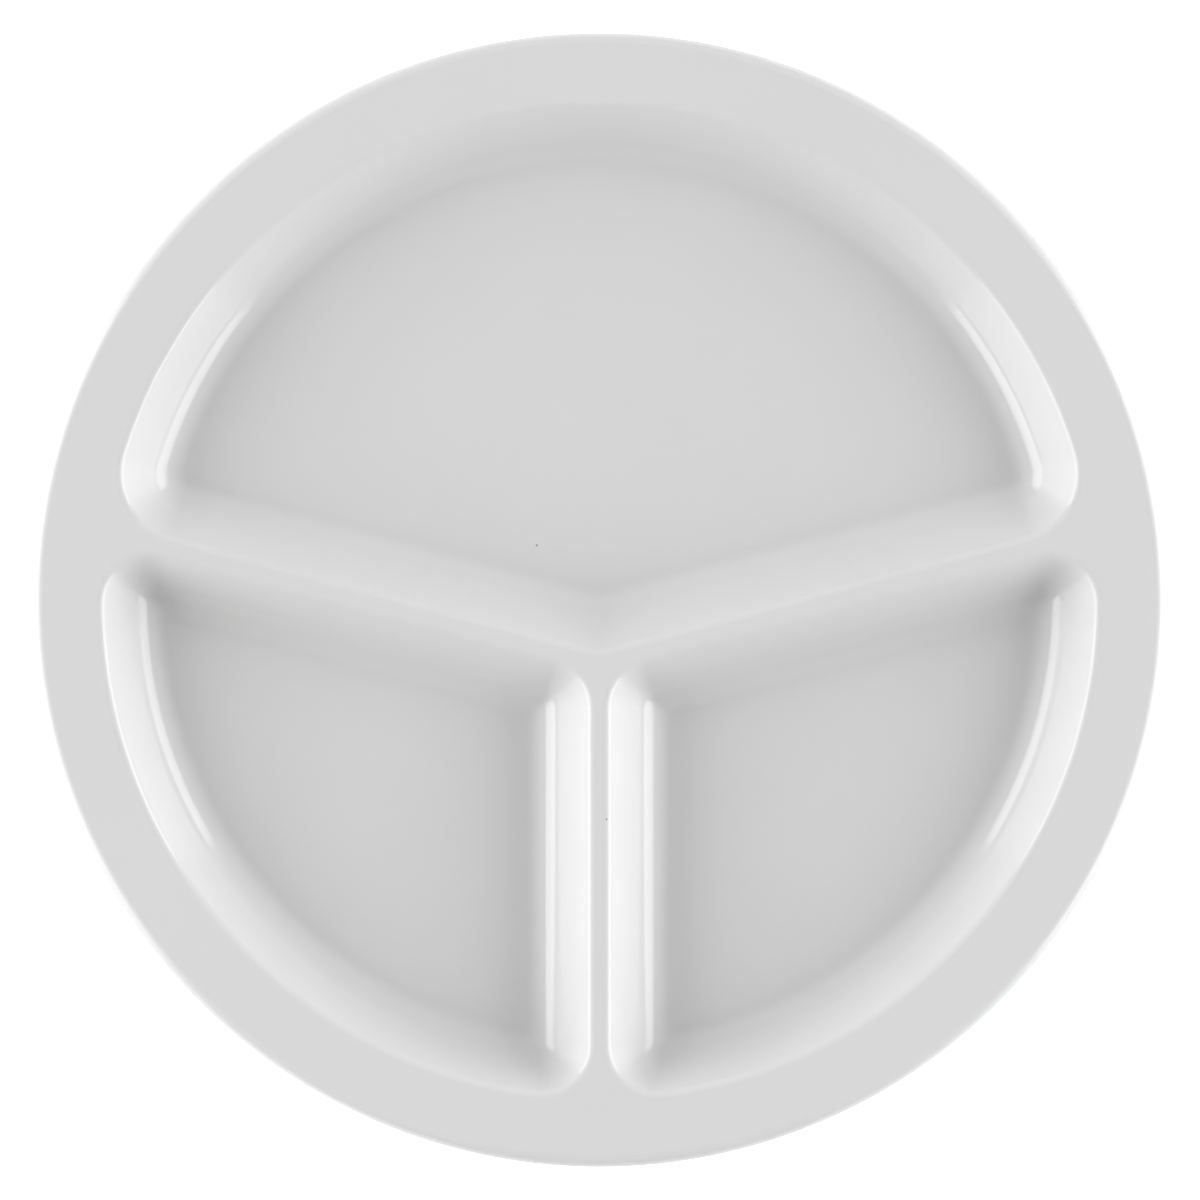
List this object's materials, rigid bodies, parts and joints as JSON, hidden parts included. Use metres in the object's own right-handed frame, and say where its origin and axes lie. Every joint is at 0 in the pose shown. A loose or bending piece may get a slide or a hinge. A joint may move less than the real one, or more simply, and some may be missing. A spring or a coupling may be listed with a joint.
{
  "type": "divided compartment plate",
  "caption": "Round moulded dinner plate with a flat rim and raised dividers that part it into one large and two smaller compartments.",
  "frame": {"origin": "centre of the plate, on the plane that the foot beads stand on", "axes": "+Z up out of the compartments, +Y from the meeting point of the dividers towards the large compartment, +X to the right when seen from above with +Y up"},
  "size_m": [0.26, 0.26, 0.0179],
  "materials": {
    "compartment_plate": "white melamine, compression moulded and polished"
  },
  "bodies": {
    "root": {"compartment_plate": "compartment_plate"}
  },
  "joints": []
}
